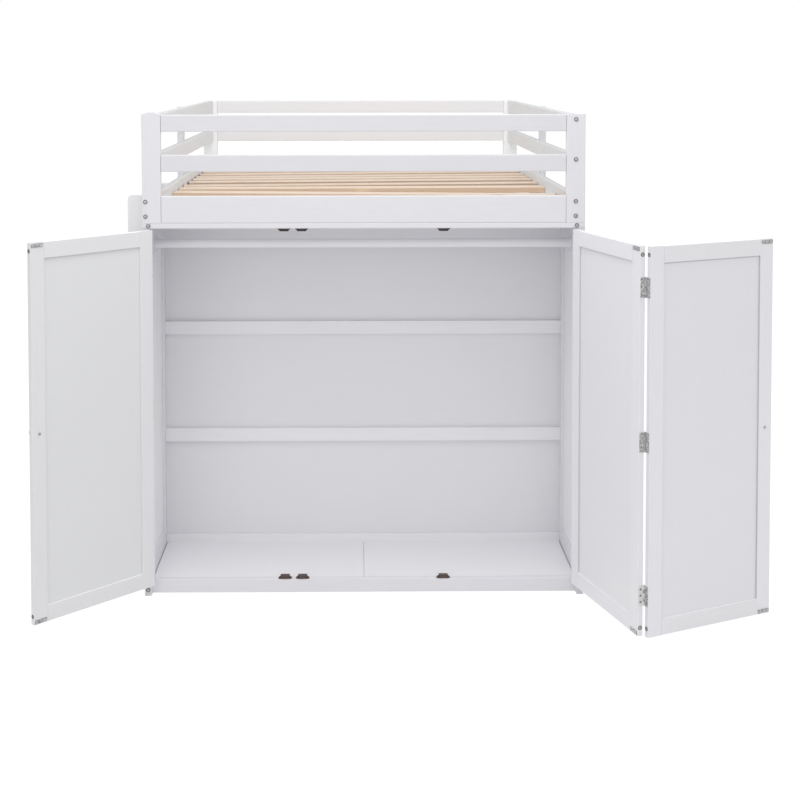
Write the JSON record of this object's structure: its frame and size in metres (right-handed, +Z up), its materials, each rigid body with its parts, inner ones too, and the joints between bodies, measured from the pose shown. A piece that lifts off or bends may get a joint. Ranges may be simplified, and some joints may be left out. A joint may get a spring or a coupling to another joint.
{
  "type": "loft bed",
  "caption": "Full-size loft bed with guard rails and a side ladder over a shallow wardrobe, with a single door and a folding pair of doors.",
  "frame": {"origin": "on the floor under the middle of the wardrobe's footprint, on the bottom face of the floor runner", "axes": "+X across the bed to the right seen from the wardrobe doors, +Y along the bed from the doors to the far end, +Z up"},
  "size_m": [2.2892, 2.4511, 1.596],
  "materials": {
    "white_wood": "satin white paint with a faint grain",
    "pine": "bare planed pine",
    "steel": "satin zinc plate",
    "dark_plastic": "matt brown"
  },
  "bodies": {
    "frame": {"left_front_post": "white_wood", "right_front_post": "white_wood", "left_back_leg": "white_wood", "right_back_leg": "white_wood", "front_top_rail": "white_wood", "front_second_rail": "white_wood", "front_end_board": "white_wood", "back_top_rail": "white_wood", "back_second_rail": "white_wood", "back_end_board": "white_wood", "left_side_board": "white_wood", "right_side_board": "white_wood", "left_guard_rails": "white_wood", "right_guard_rails": "white_wood", "mid_supports": "white_wood", "slats": "pine", "slat_ledgers": "white_wood", "centre_beam": "white_wood", "ladder_stringers": "white_wood", "ladder_rungs": "white_wood", "ladder_spacers": "white_wood", "wardrobe_stiles": "white_wood", "wardrobe_side_rails": "white_wood", "wardrobe_side_panels": "white_wood", "wardrobe_top_panel": "white_wood", "wardrobe_top_strip": "white_wood", "wardrobe_base_board": "white_wood", "wardrobe_floor_panels": "white_wood", "floor_bearers": "white_wood", "floor_runner": "white_wood", "back_battens": "white_wood", "back_panel": "white_wood", "hanging_rod": "white_wood", "rod_sockets": "steel", "magnetic_catches": "dark_plastic", "frame_bolts": "steel", "side_hinge_leaves": "steel", "side_hinge_pins": "steel"},
    "left_door": {"left_door_stiles": "white_wood", "left_door_rails": "white_wood", "left_door_panel": "white_wood", "left_door_knob": "steel", "left_door_plates": "steel", "left_door_leaves": "steel", "left_door_bolts": "steel"},
    "inner_door": {"inner_door_stiles": "white_wood", "inner_door_rails": "white_wood", "inner_door_panel": "white_wood", "inner_door_plates": "steel", "inner_door_leaves": "steel", "inner_door_bolts": "steel", "fold_hinge_pins": "steel"},
    "outer_door": {"outer_door_stiles": "white_wood", "outer_door_rails": "white_wood", "outer_door_panel": "white_wood", "outer_door_knob": "steel", "outer_door_plates": "steel", "outer_door_leaves": "steel", "outer_door_bolts": "steel"}
  },
  "joints": [
    {"name": "left_door_hinge", "type": "hinge", "parent": "frame", "child": "left_door", "pos_m": [-0.7005, -0.2085, 0.634], "axis": [0, 0, 1], "range_deg": [-31, 134]},
    {"name": "right_door_hinge", "type": "hinge", "parent": "frame", "child": "inner_door", "pos_m": [0.7005, -0.2085, 0.634], "axis": [0, 0, 1], "range_deg": [-106.4, 44]},
    {"name": "fold_hinge", "type": "hinge", "parent": "inner_door", "child": "outer_door", "pos_m": [0.83226, -0.65618, 0.634], "axis": [0, 0, 1], "range_deg": [-98.8, 65]}
  ]
}
